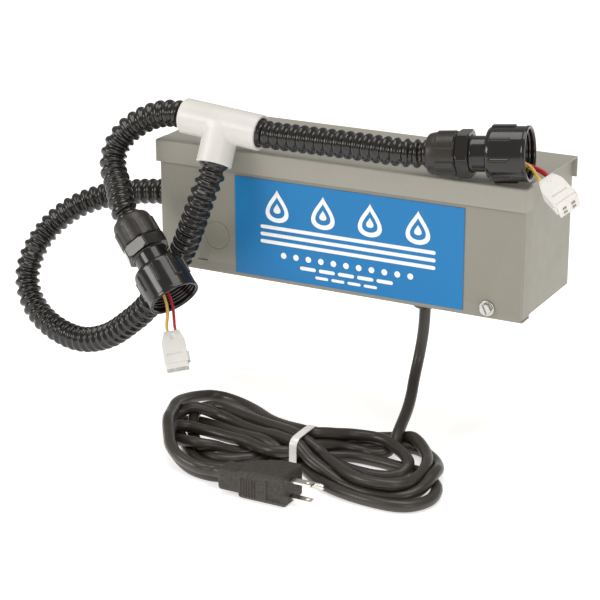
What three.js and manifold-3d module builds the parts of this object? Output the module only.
// UV clarifier power unit: a weatherproof steel box with two conduit-fed lamp ends.
// Millimetres, X right, Y back, Z up. The origin is the middle of the box's rear
// panel, which is the face that goes against the wall; the front faces -Y.
import * as THREE from 'three';
import { mergeVertices } from 'three/addons/utils/BufferGeometryUtils.js';
import Module from 'manifold-3d';

const wasm = await Module();
wasm.setup();

const at = (x, y, z) => new THREE.Vector3(x, y, z);
const forwards = at(0, -1, 0);
const backwards = at(0, 1, 0);
const upwards = at(0, 0, 1);

// ---- driving dimensions -------------------------------------------------------

const GAP = 0.3;                 // left between pieces that touch in the real thing

const box = {
  halfWidth: 150.2,
  bottom: -49.5,
  top: 49.2,
  front: -97.2,
  wall: 1.5,
  cornerRadius: 2.5,
  frontReturn: 8,                // the end panels turn inwards at the front
  bottomLip: 12.5,               // the bottom panel turns up at the front
};

const cap = {
  halfWidth: 153.4,
  front: -103,
  top: 51,
  sheet: 1.5,
  lipBottom: 33.5,
  sideReturn: 14,
  rearHemBottom: 35,
};

const cover = {
  halfWidth: 151.7,
  front: -99,
  bottom: -51,
  top: 46,
  sheet: 1.2,
  flange: 15,
};

const label = { left: -84.5, right: 105.5, bottom: -47.5, top: 29.8, thickness: 0.4 };

const coverScrewPlace = { x: 124.7, z: -43 };
const tonguePlace = { x: -114.5, z: -43 };
const cordGlandPlace = { x: 54, y: -51 };     // the mains cord leaves the bottom here
const inletPlace = { y: -36, z: -13.2 };      // the conduit leaves the left end here
const groundPlace = { x: 44, z: -37 };
const mountHoles = [[-120, 24], [120, 24], [-120, -36], [120, -36]];

const ballast = { bottom: -24, top: 18, height: 34, foot: 11, footSheet: 1.2, footHalf: 13 };
const ballasts = [
  { name: 'ballast_left', left: -136, right: -8 },
  { name: 'ballast_right', left: 8, right: 136 },
];
const ballastScrews = ballasts.flatMap(({ name, left, right }) => [
  { name: `${name}_screw_outer`, x: name === 'ballast_left' ? left + 5.5 : right - 5.5 },
  { name: `${name}_screw_inner`, x: name === 'ballast_left' ? right - 5.5 : left + 5.5 },
]);
const ballastMiddle = (ballast.bottom + ballast.top) / 2;
const terminal = { left: -26, right: 26, bottom: -45, top: -31, height: 16, poles: 3 };

const hoseRadius = 10.5;
const cordRadius = 4.45;
const wireRadius = 1.1;

// every conduit fitting shares these, measured along its axis from the hose side
const fitting = {
  nutLength: 22,
  nutRadius: 16.35,
  hoseBore: 11,
  hoseStop: 20,
  spigotStart: 12,
  spigotRadius: 14.2,
  hexStart: 23,
  hexEnd: 32,
  hexAcrossFlats: 32,
  wireBore: 8.5,
};

const lampEnd = {
  neckRadius: 12.85,
  unionStart: 43.8,
  unionEnd: 73.8,
  unionRadius: 19.6,
  threadRadius: 17.2,
  lugRadius: 21.2,
  ribRadius: 20.5,
  flangeRadius: 16.9,
};

const tee = {
  centre: at(-89, -108.4, 71.2),
  tilt: THREE.MathUtils.degToRad(5),        // the left end of the run is raised
  lean: THREE.MathUtils.degToRad(27.7),     // the branch leans forward of straight down
  radius: 13.5,
  halfRun: 33,
  branch: 31.75,
  socketBore: 10.9,
  socketStop: 16,
  waterway: 8,
};

const lampPlug = { length: 29.2, width: 18, thickness: 12, neck: 12.5, shoulder: 7, pin: 3.4 };

const floorLevel = -163.3;       // what the hank of mains cord lies on
const hank = { height: 26, tieWidth: 6, tieSheet: 1 };

// ---- colours ------------------------------------------------------------------

const paint = { color: 0xa6a398, roughness: 0.5, metalness: 0.1 };
const capPaint = { color: 0xb0aea4, roughness: 0.5, metalness: 0.1 };
const labelBlue = { color: 0x2f83c4, roughness: 0.35, metalness: 0 };
const zinc = { color: 0xb9b9b6, roughness: 0.35, metalness: 1 };
const greenZinc = { color: 0x2f7a3e, roughness: 0.4, metalness: 0.6 };
const nickel = { color: 0xc4c1ba, roughness: 0.25, metalness: 1 };
const ballastPaint = { color: 0x2c2d2e, roughness: 0.5, metalness: 0.2 };
const blackPlastic = { color: 0x1d1b19, roughness: 0.35, metalness: 0 };
const hosePlastic = { color: 0x181614, roughness: 0.25, metalness: 0 };
const rubber = { color: 0x201f1e, roughness: 0.8, metalness: 0 };
const cordJacket = { color: 0x2a2623, roughness: 0.45, metalness: 0 };
const whitePlastic = { color: 0xe9e6df, roughness: 0.45, metalness: 0 };
const nylon = { color: 0xeeece6, roughness: 0.4, metalness: 0 };
const redWire = { color: 0xb5303a, roughness: 0.45, metalness: 0 };
const yellowWire = { color: 0xd9ab45, roughness: 0.45, metalness: 0 };

const group = new THREE.Group();
group.name = 'uv_clarifier_power_unit';

function add(name, shape, look) {
  const geometry = shape.isBufferGeometry ? shape : fromManifold(shape);
  const mesh = new THREE.Mesh(geometry, new THREE.MeshStandardMaterial(look));
  mesh.name = name;
  group.add(mesh);
}

// ---- helpers ------------------------------------------------------------------

function toManifold(geometry) {
  const plain = geometry.clone();
  plain.deleteAttribute('normal');
  plain.deleteAttribute('uv');
  const welded = mergeVertices(plain, 1e-3);
  return new wasm.Manifold(new wasm.Mesh({
    numProp: 3,
    vertProperties: new Float32Array(welded.attributes.position.array),
    triVerts: new Uint32Array(welded.index.array),
  }));
}

function fromManifold(manifold) {
  const mesh = manifold.getMesh();
  const geometry = new THREE.BufferGeometry();
  geometry.setAttribute('position', new THREE.BufferAttribute(mesh.vertProperties, 3));
  geometry.setIndex(new THREE.BufferAttribute(mesh.triVerts, 1));
  geometry.computeVertexNormals();
  return geometry;
}

function joined(...geometries) {
  return geometries.map(toManifold).reduce((whole, piece) => whole.add(piece));
}

function cut(manifold, ...geometries) {
  return geometries.map(toManifold).reduce((whole, piece) => whole.subtract(piece), manifold);
}

function block(x0, x1, y0, y1, z0, z1) {
  const geometry = new THREE.BoxGeometry(x1 - x0, y1 - y0, z1 - z0);
  geometry.translate((x0 + x1) / 2, (y0 + y1) / 2, (z0 + z1) / 2);
  return geometry;
}

// a frame whose local Z runs along `direction`, with local X as near `sideways` as it can be
function frameAlong(origin, direction, sideways = upwards) {
  const z = direction.clone().normalize();
  const x = sideways.clone().addScaledVector(z, -sideways.dot(z)).normalize();
  const y = new THREE.Vector3().crossVectors(z, x);
  return new THREE.Matrix4().makeBasis(x, y, z).setPosition(origin);
}

// profile: [radius, distance along the axis] pairs, closed on itself or ending on the axis
function turned(profile, frame, segments = 24) {
  const outline = profile.map(([radius, along]) => new THREE.Vector2(radius, along));
  if (outline[0].x > 0) outline.push(outline[0].clone());
  const geometry = new THREE.LatheGeometry(outline, segments);
  geometry.rotateX(Math.PI / 2);            // the lathe turns round Y; the frame uses Z
  geometry.applyMatrix4(frame);
  return geometry;
}

function rod(radius, start, end, frame, segments = 24) {
  return turned([[0, start], [radius, start], [radius, end], [0, end]], frame, segments);
}

function prism(points, start, end, frame) {
  const shape = new THREE.Shape(points.map(([x, y]) => new THREE.Vector2(x, y)));
  const geometry = new THREE.ExtrudeGeometry(shape, { depth: end - start, bevelEnabled: false });
  geometry.translate(0, 0, start);
  geometry.applyMatrix4(frame);
  return geometry;
}

function hexagon(acrossFlats) {
  const corner = acrossFlats / Math.sqrt(3);
  return [0, 1, 2, 3, 4, 5].map((i) => {
    const angle = (i * Math.PI) / 3 + Math.PI / 6;
    return [corner * Math.cos(angle), corner * Math.sin(angle)];
  });
}

// a tube along a smooth curve through hand-chosen points
function tube(points, radius, sides, steps) {
  const corners = Array.from({ length: sides }, (_, i) => {
    const angle = (2 * Math.PI * i) / sides;
    return new THREE.Vector2(radius * Math.cos(angle), radius * Math.sin(angle));
  });
  const path = new THREE.CatmullRomCurve3(points, false, 'centripetal');
  const options = { steps, extrudePath: path, bevelEnabled: false };
  return new THREE.ExtrudeGeometry(new THREE.Shape(corners), options);
}

// ---- the box ------------------------------------------------------------------

const rearFace = (x, z) => frameAlong(at(x, 0, z), forwards);

function buildBackBox() {
  const { halfWidth: w, front, wall, cornerRadius: r, frontReturn } = box;
  const plan = new THREE.Shape();
  plan.moveTo(-w, front);
  plan.lineTo(-w + frontReturn, front);
  plan.lineTo(-w + frontReturn, front + wall);
  plan.lineTo(-w + wall, front + wall);
  plan.lineTo(-w + wall, -wall);
  plan.lineTo(w - wall, -wall);
  plan.lineTo(w - wall, front + wall);
  plan.lineTo(w - frontReturn, front + wall);
  plan.lineTo(w - frontReturn, front);
  plan.lineTo(w, front);
  plan.lineTo(w, -r);
  plan.absarc(w - r, -r, r, 0, Math.PI / 2, false);
  plan.lineTo(-w + r, 0);
  plan.absarc(-w + r, -r, r, Math.PI / 2, Math.PI, false);
  plan.closePath();
  const sides = new THREE.ExtrudeGeometry(plan, {
    depth: box.top - box.bottom, bevelEnabled: false, curveSegments: 3,
  });
  sides.translate(0, 0, box.bottom);
  const bottomPanel = block(-w + 1, w - 1, front, -1, box.bottom, box.bottom + wall);
  const bottomLip = block(
    -w + frontReturn - 1, w - frontReturn + 1, front, front + wall,
    box.bottom, box.bottom + box.bottomLip,
  );

  // the cover screw drops out through an open slot, so the cover slides off with it
  const slotFrame = frameAlong(at(coverScrewPlace.x, front - 1, coverScrewPlace.z), backwards);
  const slot = block(
    coverScrewPlace.x - 2.7, coverScrewPlace.x + 2.7, front - 1, front + 8,
    box.bottom - 1, coverScrewPlace.z,
  );
  const hemSpace = block(-w - 1, w + 1, -wall - GAP, 1, cap.rearHemBottom - GAP, box.top + 1);
  const glandFrame = frameAlong(
    at(cordGlandPlace.x, cordGlandPlace.y, box.bottom - 1), upwards, backwards,
  );
  const inletFrame = frameAlong(at(-w - 1, inletPlace.y, inletPlace.z), at(1, 0, 0));
  return cut(
    joined(sides, bottomPanel, bottomLip),
    rod(2.7, 0, 9, slotFrame, 16),
    slot,
    hemSpace,
    rod(10.2, 0, 4, glandFrame),
    rod(13.3, 0, 4, inletFrame),
    ...mountHoles.map(([x, z]) => rod(3.6, -1, 3, rearFace(x, z), 16)),
    ...ballastScrews.map(({ x }) => rod(2, -1, 3, rearFace(x, ballastMiddle), 12)),
    rod(2, -1, 3, rearFace(groundPlace.x, groundPlace.z), 12),
  );
}

function buildDripCap() {
  const { halfWidth: w, front, top, sheet, sideReturn, lipBottom } = cap;
  const returnSheet = sheet - 0.1;
  return joined(
    block(-w, w, front, 0, top - sheet, top),
    block(-w, w, front, front + sheet, lipBottom, top),
    block(-w, w, -sheet, 0, cap.rearHemBottom, top),
    block(-w, -w + returnSheet, front, front + sideReturn, lipBottom, top),
    block(w - returnSheet, w, front, front + sideReturn, lipBottom, top),
  );
}

function buildFrontCover() {
  const { halfWidth: w, front, bottom, top, sheet, flange } = cover;
  // a small tongue lanced out of the sheet, open along its top edge
  const tongueStart = at(tonguePlace.x - 4.4, front + sheet, tonguePlace.z);
  const tongueProfile = [[0.2, -4], [1.1, -4], [2.4, 1], [2.4, 1.9], [0.2, 1.9]];
  const tongueFrame = frameAlong(tongueStart, at(1, 0, 0), forwards);
  const slit = block(
    tonguePlace.x - 4.4, tonguePlace.x + 4.4, front - 3, front + sheet + 1,
    tonguePlace.z + 1.2, tonguePlace.z + 2.4,
  );
  const holeFrame = frameAlong(at(coverScrewPlace.x, front, coverScrewPlace.z), backwards);
  const pan = joined(
    block(-w, w, front, front + sheet, bottom, top),
    block(-w, -w + sheet, front, front + flange, bottom, top),
    block(w - sheet, w, front, front + flange, bottom, top),
    block(-w, w, front, front + flange, bottom, bottom + sheet),
    prism(tongueProfile, 0, 8.8, tongueFrame),
  );
  return cut(pan, slit, rod(2.7, -1, 3, holeFrame, 16));
}

// slotted hexagon head with a washer face; the frame's Z runs from the shank tip outwards
function buildHexScrew(frame, { shank, shankRadius, washer, hex }) {
  const slot = new THREE.BoxGeometry(1.2, hex * 2, 2);
  slot.translate(0, 0, 4.6);
  slot.applyMatrix4(frame);
  const body = joined(
    rod(shankRadius, -shank, 0.5, frame, 12),
    rod(washer, 0, 1, frame, 20),
    prism(hexagon(hex), 0.5, 4.6, frame),
  );
  return cut(body, slot);
}

function buildPanScrew(frame, shank) {
  const profile = [
    [0, -shank], [1.6, -shank], [1.6, 0], [3.6, 0], [3.3, 1.6], [2, 2.4], [0, 2.4],
  ];
  return turned(profile, frame, 14);
}

add('back_box', buildBackBox(), paint);
add('drip_cap', buildDripCap(), capPaint);
add('front_cover', buildFrontCover(), paint);
add('label_panel', block(
  label.left, label.right, cover.front - GAP - label.thickness, cover.front - GAP,
  label.bottom, label.top,
), labelBlue);
const coverScrewSeat = at(coverScrewPlace.x, cover.front - GAP, coverScrewPlace.z);
add('cover_screw', buildHexScrew(
  frameAlong(coverScrewSeat, forwards),
  { shank: 8.5, shankRadius: 2.1, washer: 5.8, hex: 8 },
), zinc);

// ---- inside the box -----------------------------------------------------------

const seatOnBack = -box.wall - GAP;

function buildBallast({ left, right }) {
  const foot = block(
    left, right, seatOnBack - ballast.footSheet, seatOnBack,
    ballastMiddle - ballast.footHalf, ballastMiddle + ballast.footHalf,
  );
  const can = block(
    left + ballast.foot, right - ballast.foot, seatOnBack - ballast.height, seatOnBack,
    ballast.bottom, ballast.top,
  );
  const holes = ballastScrews
    .filter(({ x }) => x > left && x < right)
    .map(({ x }) => rod(2.1, 0, 6, rearFace(x, ballastMiddle), 12));
  return cut(joined(foot, can), ...holes);
}

function buildTerminalBlock() {
  const { left, right, bottom, top, height, poles } = terminal;
  const pitch = (right - left) / poles;
  const barrier = 2;
  const base = block(left, right, seatOnBack - height + 6, seatOnBack, bottom, top);
  const barriers = Array.from({ length: poles + 1 }, (_, i) => {
    const x = left + i * pitch + (i === 0 ? barrier / 2 : 0) - (i === poles ? barrier / 2 : 0);
    return block(x - barrier / 2, x + barrier / 2, seatOnBack - height, seatOnBack, bottom, top);
  });
  return joined(base, ...barriers);
}

for (const place of ballasts) {
  add(place.name, buildBallast(place), ballastPaint);
}
for (const { name, x } of ballastScrews) {
  const seat = at(x, seatOnBack - ballast.footSheet - GAP, ballastMiddle);
  add(name, buildPanScrew(frameAlong(seat, forwards), 2.9), zinc);
}
add('terminal_block', buildTerminalBlock(), blackPlastic);
for (let pole = 0; pole < terminal.poles; pole += 1) {
  const pitch = (terminal.right - terminal.left) / terminal.poles;
  const seat = at(
    terminal.left + (pole + 0.5) * pitch, seatOnBack - terminal.height + 6 - GAP,
    (terminal.bottom + terminal.top) / 2,
  );
  add(`terminal_screw_${pole + 1}`, turned(
    [[0, 0], [3.4, 0], [3.2, 1.4], [2, 2.2], [0, 2.2]], frameAlong(seat, forwards), 14,
  ), zinc);
}
add('ground_screw', buildHexScrew(
  frameAlong(at(groundPlace.x, seatOnBack, groundPlace.z), forwards),
  { shank: 1.6, shankRadius: 1.6, washer: 4.6, hex: 7 },
), greenZinc);

// ---- mains cord gland in the bottom of the box ----------------------------------

const glandFrame = frameAlong(
  at(cordGlandPlace.x, cordGlandPlace.y, box.bottom), upwards.clone().negate(), backwards,
);
const glandBore = 5;

add('cord_gland_locknut', cut(
  toManifold(prism(hexagon(26), -6.2, -box.wall - GAP, glandFrame)),
  rod(10.1, -8, 0, glandFrame),
), blackPlastic);
add('cord_gland_body', cut(
  joined(
    rod(9.8, -8, GAP + 1, glandFrame),
    prism(hexagon(24), GAP, 5.5, glandFrame),
    rod(8.6, 5, 16, glandFrame),
  ),
  rod(glandBore, -9, 17, glandFrame, 16),
), blackPlastic);
add('cord_gland_nut', turned([
  [8.9, 5.8], [12, 5.8], [12, 12.2], [10.8, 16], [8, 19], [glandBore, 19.4],
  [glandBore, 16.5], [8.9, 16.3],
], glandFrame), blackPlastic);

// ---- conduit fittings -----------------------------------------------------------

function buildCompressionNut(frame) {
  const { nutLength, nutRadius, hoseBore, spigotRadius } = fitting;
  const inner = spigotRadius + 0.4;
  return turned([
    [hoseBore, 0], [13, 0], [14.4, 1.2], [15.4, 4], [15.9, 8], [nutRadius, nutLength],
    [inner, nutLength], [inner, 6.8], [hoseBore, 6.2],
  ], frame);
}

function buildHoseSeal(frame) {
  return turned([[11, 7.2], [14.2, 7.2], [14.2, 11], [12.4, 11.7], [11, 11.7]], frame);
}

function buildHex(frame, start = fitting.hexStart, end = fitting.hexEnd) {
  return prism(hexagon(fitting.hexAcrossFlats), start, end, frame);
}

function spigotAndBores(frame, wireBoreEnd) {
  const { hoseBore, hoseStop, spigotStart, spigotRadius, hexStart, wireBore } = fitting;
  return {
    spigot: rod(spigotRadius, spigotStart, hexStart + 1, frame),
    hoseSpace: rod(hoseBore, spigotStart - 1, hoseStop + GAP, frame),
    wireSpace: rod(wireBore, hoseStop, wireBoreEnd + 1, frame),
  };
}

function buildLampFittingBody(frame) {
  const { neckRadius, flangeRadius, unionStart } = lampEnd;
  const flangeStart = unionStart + 2.2;
  const flangeEnd = flangeStart + 3.5;
  const { spigot, hoseSpace, wireSpace } = spigotAndBores(frame, flangeEnd);
  const body = joined(
    spigot,
    buildHex(frame),
    rod(neckRadius, fitting.hexEnd - 1, flangeEnd, frame),
    rod(flangeRadius, flangeStart, flangeEnd, frame),
  );
  return cut(body, hoseSpace, wireSpace);
}

function buildUnionNut(frame) {
  const { unionStart, unionEnd, unionRadius, threadRadius, lugRadius, ribRadius } = lampEnd;
  const { neckRadius } = lampEnd;
  const shell = turned([
    [neckRadius + 0.45, unionStart], [16.6, unionStart], [18.7, unionStart + 1],
    [unionRadius, unionStart + 3.4], [unionRadius, unionEnd], [threadRadius, unionEnd],
    [threadRadius, unionStart + 1.9], [neckRadius + 0.45, unionStart + 1.9],
  ], frame, 32);
  const grips = Array.from({ length: 8 }, (_, i) => {
    const wide = i % 4 === 0;
    const reach = wide ? lugRadius : ribRadius;
    const half = wide ? 2.8 : 0.9;
    const length = wide ? 17.5 : 15.5;
    const corner = Math.sqrt(reach * reach - half * half);
    const grip = prism(
      [[18, -half], [corner, -half], [corner, half], [18, half]],
      unionStart + 3, unionStart + 3 + length, new THREE.Matrix4().makeRotationZ((i * Math.PI) / 4),
    );
    grip.applyMatrix4(frame);
    return grip;
  });
  return joined(shell, ...grips);
}

function buildUnionSeal(frame) {
  const start = lampEnd.unionStart + 5.7 + GAP;
  return turned([
    [12.6, start], [16.4, start], [16.8, start + 1.5], [16.4, start + 3], [12.6, start + 3],
  ], frame);
}

// nylon housing: local Z from the wires to the open face, local X across the width
function buildLampPlug(frame) {
  const { length, width, thickness, neck, shoulder, pin } = lampPlug;
  const outline = [
    [-neck / 2, 0], [neck / 2, 0], [width / 2, shoulder], [width / 2, length],
    [-width / 2, length], [-width / 2, shoulder],
  ];
  // the outline is drawn in local X and Z, and its thickness runs along local Y
  const lieDown = new THREE.Matrix4().makeRotationX(Math.PI / 2);
  const body = prism(outline, -thickness / 2, thickness / 2, lieDown);
  body.applyMatrix4(frame);
  const sockets = [-1, 1].flatMap((side) => [-1, 1].map((row) => {
    const socket = new THREE.BoxGeometry(pin, pin, 12);
    socket.translate(side * 3.6, row * 2.9, length - 5);
    socket.applyMatrix4(frame);
    return socket;
  }));
  const latch = new THREE.BoxGeometry(1.8, 5, 7);
  latch.translate(width / 2 + 0.5, 0, length - 8);
  latch.applyMatrix4(frame);
  return cut(joined(body, latch), ...sockets);
}

// the hanging lamp end is seen in the air at the left; the resting one lies on the drip cap
const lampEnds = [
  {
    name: 'hanging_lamp_end',
    axis: at(0.702, -0.294, -0.648).normalize(),
    rim: at(-93.8, -175, -47.5),
    plugTop: at(-94.9, -179, -73.2),
    plugAxis: at(0.436, -0.439, -0.784).normalize(),
    plugSide: at(0.817, 0.558, 0.142),
    droop: at(-0.606, 0.308, -0.734),
    droopStart: 4,
    droopEnd: 11.5,
  },
  {
    name: 'resting_lamp_end',
    axis: at(0.983, 0.165, 0.08).normalize(),
    rim: at(151.8, -93.7, 74.6),
    plugTop: at(166.3, -99.3, 58.1),
    plugAxis: at(0.785, -0.456, -0.42).normalize(),
    plugSide: at(0.618, 0.61, 0.495),
    droop: at(0, -0.25, -0.97),
    droopStart: 3,
    droopEnd: 9,
  },
];

const alongLampEnd = ({ rim, axis }, t) => rim.clone().addScaledVector(axis, t - lampEnd.unionEnd);

function lampEndFrame({ rim, axis }) {
  const start = rim.clone().addScaledVector(axis, -lampEnd.unionEnd);
  return frameAlong(start, axis);
}

function addLampWires(end, plugFrame) {
  const droop = end.droop.clone().addScaledVector(end.axis, -end.droop.dot(end.axis)).normalize();
  const across = new THREE.Vector3().crossVectors(end.axis, droop);
  if (across.dot(end.plugSide) < 0) across.negate();
  // the two rows of wires keep their order from the fitting to the plug
  const plugRow = new THREE.Vector3().crossVectors(end.plugAxis, end.plugSide);
  const order = Math.sign(plugRow.dot(droop));
  const offAxis = (along, sideways, drooping) => alongLampEnd(end, along)
    .addScaledVector(across, sideways).addScaledVector(droop, drooping);
  const wires = [
    { name: 'wire_yellow_front', side: -1, row: -1, look: yellowWire },
    { name: 'wire_yellow_back', side: -1, row: 1, look: yellowWire },
    { name: 'wire_red_front', side: 1, row: -1, look: redWire },
    { name: 'wire_red_back', side: 1, row: 1, look: redWire },
  ];
  for (const { name, side, row, look } of wires) {
    const route = [
      offAxis(38, side * 2.4, order * row * 2),
      offAxis(52, side * 2.4, end.droopStart + order * row * 2),
      offAxis(lampEnd.unionEnd, side * 2.4, end.droopEnd + order * row * 1.8),
      at(side * 3.6, row * 2.9, -5).applyMatrix4(plugFrame),
      at(side * 3.6, row * 2.9, -GAP).applyMatrix4(plugFrame),
    ];
    add(`${end.name}_${name}`, tube(route, wireRadius, 8, 14), look);
  }
}

for (const end of lampEnds) {
  const frame = lampEndFrame(end);
  add(`${end.name}_compression_nut`, buildCompressionNut(frame), blackPlastic);
  add(`${end.name}_hose_seal`, buildHoseSeal(frame), rubber);
  add(`${end.name}_fitting_body`, buildLampFittingBody(frame), blackPlastic);
  add(`${end.name}_union_nut`, buildUnionNut(frame), blackPlastic);
  add(`${end.name}_union_seal`, buildUnionSeal(frame), rubber);
  const plugFrame = frameAlong(end.plugTop, end.plugAxis, end.plugSide);
  add(`${end.name}_lamp_plug`, buildLampPlug(plugFrame), nylon);
  addLampWires(end, plugFrame);
}

// the box's own conduit fitting points out of the left end; its axis starts at the hose side
const inletFrame = frameAlong(
  at(-box.halfWidth - GAP - fitting.hexEnd + 2, inletPlace.y, inletPlace.z), at(1, 0, 0),
);
const inletHexEnd = fitting.hexEnd - 2;
const inletInside = inletHexEnd + GAP + box.wall;
const inletBores = spigotAndBores(inletFrame, inletInside + 8);

add('conduit_inlet_compression_nut', buildCompressionNut(inletFrame), blackPlastic);
add('conduit_inlet_hose_seal', buildHoseSeal(inletFrame), rubber);
add('conduit_inlet_body', cut(
  joined(
    inletBores.spigot,
    buildHex(inletFrame, fitting.hexStart, inletHexEnd),
    rod(12.9, inletHexEnd - 1, inletInside + 7.5, inletFrame),
  ),
  inletBores.hoseSpace,
  inletBores.wireSpace,
), blackPlastic);
add('conduit_inlet_locknut', cut(
  toManifold(rod(17, inletInside + GAP, inletInside + 4.8, inletFrame, 12)),
  rod(13.3, inletInside - 1, inletInside + 6, inletFrame),
), zinc);

// ---- tee and the three lengths of corrugated hose ---------------------------------

const runAxis = at(Math.cos(tee.tilt), 0, -Math.sin(tee.tilt));
const branchAxis = at(0, -Math.sin(tee.lean), -Math.cos(tee.lean));

function buildTee() {
  const run = frameAlong(tee.centre, runAxis);
  const branch = frameAlong(tee.centre, branchAxis);
  const { radius, halfRun, socketBore, socketStop, waterway } = tee;
  const body = joined(
    rod(radius, -halfRun, halfRun, run, 28),
    rod(radius, 0, tee.branch, branch, 28),
  );
  return cut(
    body,
    rod(socketBore, socketStop - GAP, halfRun + 1, run),
    rod(socketBore, -halfRun - 1, -socketStop + GAP, run),
    rod(socketBore, socketStop - GAP - 1, tee.branch + 1, branch),
    rod(waterway, -halfRun, halfRun, run, 16),
    rod(waterway, 0, tee.branch, branch, 16),
  );
}

const alongRun = (t) => tee.centre.clone().addScaledVector(runAxis, t);
const alongBranch = (t) => tee.centre.clone().addScaledVector(branchAxis, t);
const inletAlong = (t) => at(0, 0, t).applyMatrix4(inletFrame);
const [hangingEnd, restingEnd] = lampEnds;

add('tee_fitting', buildTee(), whitePlastic);
add('hose_box_to_tee', tube([
  inletAlong(fitting.hoseStop), inletAlong(2), inletAlong(-6),
  at(-223, -39, -17.9), at(-251.5, -46, -25.9), at(-271.5, -54, -37), at(-287, -62, -52.3),
  at(-294, -75, -70), at(-297, -81, -89), at(-290, -87, -106), at(-274, -93, -119),
  at(-250, -99, -126.5), at(-224.5, -105, -126), at(-197, -111, -115.5), at(-172, -117, -97.5),
  at(-154, -121, -81.5), at(-131, -126, -52), at(-113.5, -129.5, -24.5), at(-103, -133, -3.5),
  at(-93.5, -132.5, 21), alongBranch(tee.branch + 6), alongBranch(tee.branch - 4),
  alongBranch(tee.socketStop),
], hoseRadius, 10, 44), hosePlastic);
add('hose_tee_to_hanging_end', tube([
  alongRun(-tee.socketStop), alongRun(-tee.halfRun), alongRun(-tee.halfRun - 8),
  at(-145, -109, 72.5), at(-158.5, -111, 66.5), at(-169.5, -114, 58.5), at(-176.5, -118.5, 48.5),
  at(-178, -124, 38), at(-174, -130, 28.5), at(-165.5, -137, 20),
  ...[-12, -4, fitting.hoseStop].map((t) => alongLampEnd(hangingEnd, t)),
], hoseRadius, 10, 26), hosePlastic);
add('hose_tee_to_resting_end', tube([
  alongRun(tee.socketStop), alongRun(tee.halfRun), alongRun(tee.halfRun + 8),
  at(-15, -109.2, 68), at(19, -110, 68.4), at(44.5, -110.6, 68.4), at(58.5, -110, 68.2),
  ...[-8, 0, fitting.hoseStop].map((t) => alongLampEnd(restingEnd, t)),
], hoseRadius, 10, 16), hosePlastic);

// ---- mains cord: the drop, the tied hank and the tail with its moulded plug ----------

const leftLobe = [
  [-10, -156], [-26, -149], [-47, -131], [-76, -122], [-100, -120], [-111, -132],
  [-111.5, -150], [-98, -172], [-82, -189], [-62, -200], [-42, -206], [-26, -200], [-8, -189],
];
const rightLobe = [
  [22, -191], [42, -203.5], [69, -215.5], [97, -221.5], [118, -215], [128, -199], [127, -178],
  [117, -155], [105, -137], [86, -121], [66, -118.5], [43, -123.5], [26, -136],
];
const waist = { left: 3, right: 18, back: -151, front: -184 };
const hankBottom = floorLevel + hank.tieSheet + GAP;

function buildHank() {
  const points = (list) => list.map(([x, y]) => new THREE.Vector2(x, y));
  const outline = new THREE.Shape();
  outline.moveTo(waist.left, waist.back);
  outline.splineThru(points([...leftLobe, [waist.left, waist.front]]));
  outline.lineTo(waist.right, waist.front);
  outline.splineThru(points([...rightLobe, [waist.right, waist.back]]));
  const geometry = new THREE.ExtrudeGeometry(outline, {
    depth: hank.height, bevelEnabled: false, curveSegments: 2,
  });
  geometry.translate(0, 0, hankBottom);
  return geometry;
}

function buildTie() {
  const middle = (waist.left + waist.right) / 2;
  const half = hank.tieWidth / 2;
  const inner = GAP;
  const outer = GAP + hank.tieSheet;
  const band = toManifold(block(
    middle - half, middle + half, waist.front - outer, waist.back + outer,
    hankBottom - outer, hankBottom + hank.height + outer,
  ));
  return cut(band, block(
    middle - half - 1, middle + half + 1, waist.front - inner, waist.back + inner,
    hankBottom - inner, hankBottom + hank.height + inner,
  ));
}

const plug = {
  back: -21, face: 34.5, low: -163, high: -139,
  bladeY: -232, groundY: -220.1, middleZ: -151, bladeApart: 12.7,
};

function buildPlugBody() {
  const { back, face, low, high } = plug;
  const fromAbove = frameAlong(at(0, 0, 0), upwards, at(1, 0, 0));
  const head = prism([
    [-3, -241], [6, -243.5], [face, -243.5], [face, -214], [18, -214], [6, -220], [-3, -223],
  ], low, high, fromAbove);
  const collar = prism([
    [back, -239], [-2, -240], [-2, -224], [back, -223],
  ], low + 4, high - 4, fromAbove);
  const fromFront = frameAlong(at(0, 0, 0), at(1, 0, 0), backwards);
  const sockets = [
    ...bladeOutlines().map((outline) => prism(outline(0.3), face - 4, face + 1, fromFront)),
    rod(2.7, face - 4, face + 1, frameAlong(at(0, plug.groundY, plug.middleZ), at(1, 0, 0)), 16),
  ];
  return cut(joined(head, collar), ...sockets);
}

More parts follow.
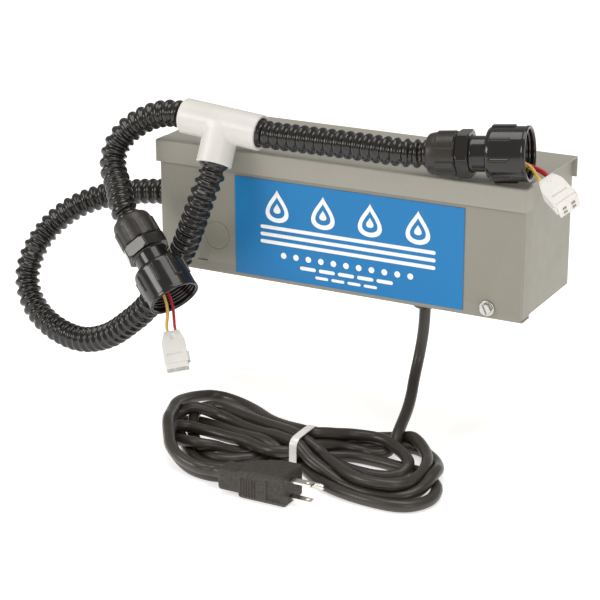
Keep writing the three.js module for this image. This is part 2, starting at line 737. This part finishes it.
// each outline is drawn looking from the front, in Y and Z, and can be grown by a margin
function bladeOutlines() {
  return [-1, 1].map((side) => {
    const z = plug.middleZ + (side * plug.bladeApart) / 2;
    return (margin) => {
      const wide = 3.15 + margin;
      const thin = 0.75 + margin;
      return [
        [plug.bladeY - wide, z - thin], [plug.bladeY + wide, z - thin],
        [plug.bladeY + wide, z + thin], [plug.bladeY - wide, z + thin],
      ];
    };
  });
}

function buildBlade(outline) {
  const fromFront = frameAlong(at(0, 0, 0), at(1, 0, 0), backwards);
  const holeFrame = frameAlong(at(plug.face + 13.5, plug.bladeY, 0), upwards, backwards);
  const hole = rod(1.6, -170, -130, holeFrame, 12);
  return cut(toManifold(prism(outline(0), plug.face - 3.7, plug.face + 17, fromFront)), hole);
}

add('mains_cord_drop', tube([
  at(cordGlandPlace.x, cordGlandPlace.y, -40), at(cordGlandPlace.x, cordGlandPlace.y, -58),
  at(cordGlandPlace.x, cordGlandPlace.y, -75), at(53, -52, -92), at(52, -56, -108),
  at(53, -66, -122), at(56.5, -82, -134), at(60, -100, -143.5), at(62, -116, -150),
], cordRadius, 10, 16), cordJacket);
add('mains_cord_hank', buildHank(), cordJacket);
add('mains_cord_tail', tube([
  at(-7, -149, -143), at(-35, -129, -146), at(-71, -105, -149), at(-97, -95, -151),
  at(-116, -96, -153), at(-126, -112, -154), at(-123, -138, -155), at(-110, -167, -156.5),
  at(-88, -194, -157.5), at(-65, -212, -157.5), at(-46, -224, -155.5), at(-34, -229.5, -152.5),
  at(-28, -231, -151), at(plug.back - GAP, -231, -151),
], cordRadius, 10, 24), cordJacket);
add('hank_tie', buildTie(), whitePlastic);
add('plug_body', buildPlugBody(), rubber);
const [lowerBlade, upperBlade] = bladeOutlines();
add('plug_blade_lower', buildBlade(lowerBlade), nickel);
add('plug_blade_upper', buildBlade(upperBlade), nickel);
const groundFrame = frameAlong(at(plug.face - 3.7, plug.groundY, plug.middleZ), at(1, 0, 0));
add('plug_ground_pin', turned(
  [[0, 0], [2.4, 0], [2.4, 21], [1.6, 23.5], [0, 24]], groundFrame, 16,
), nickel);

export default group;
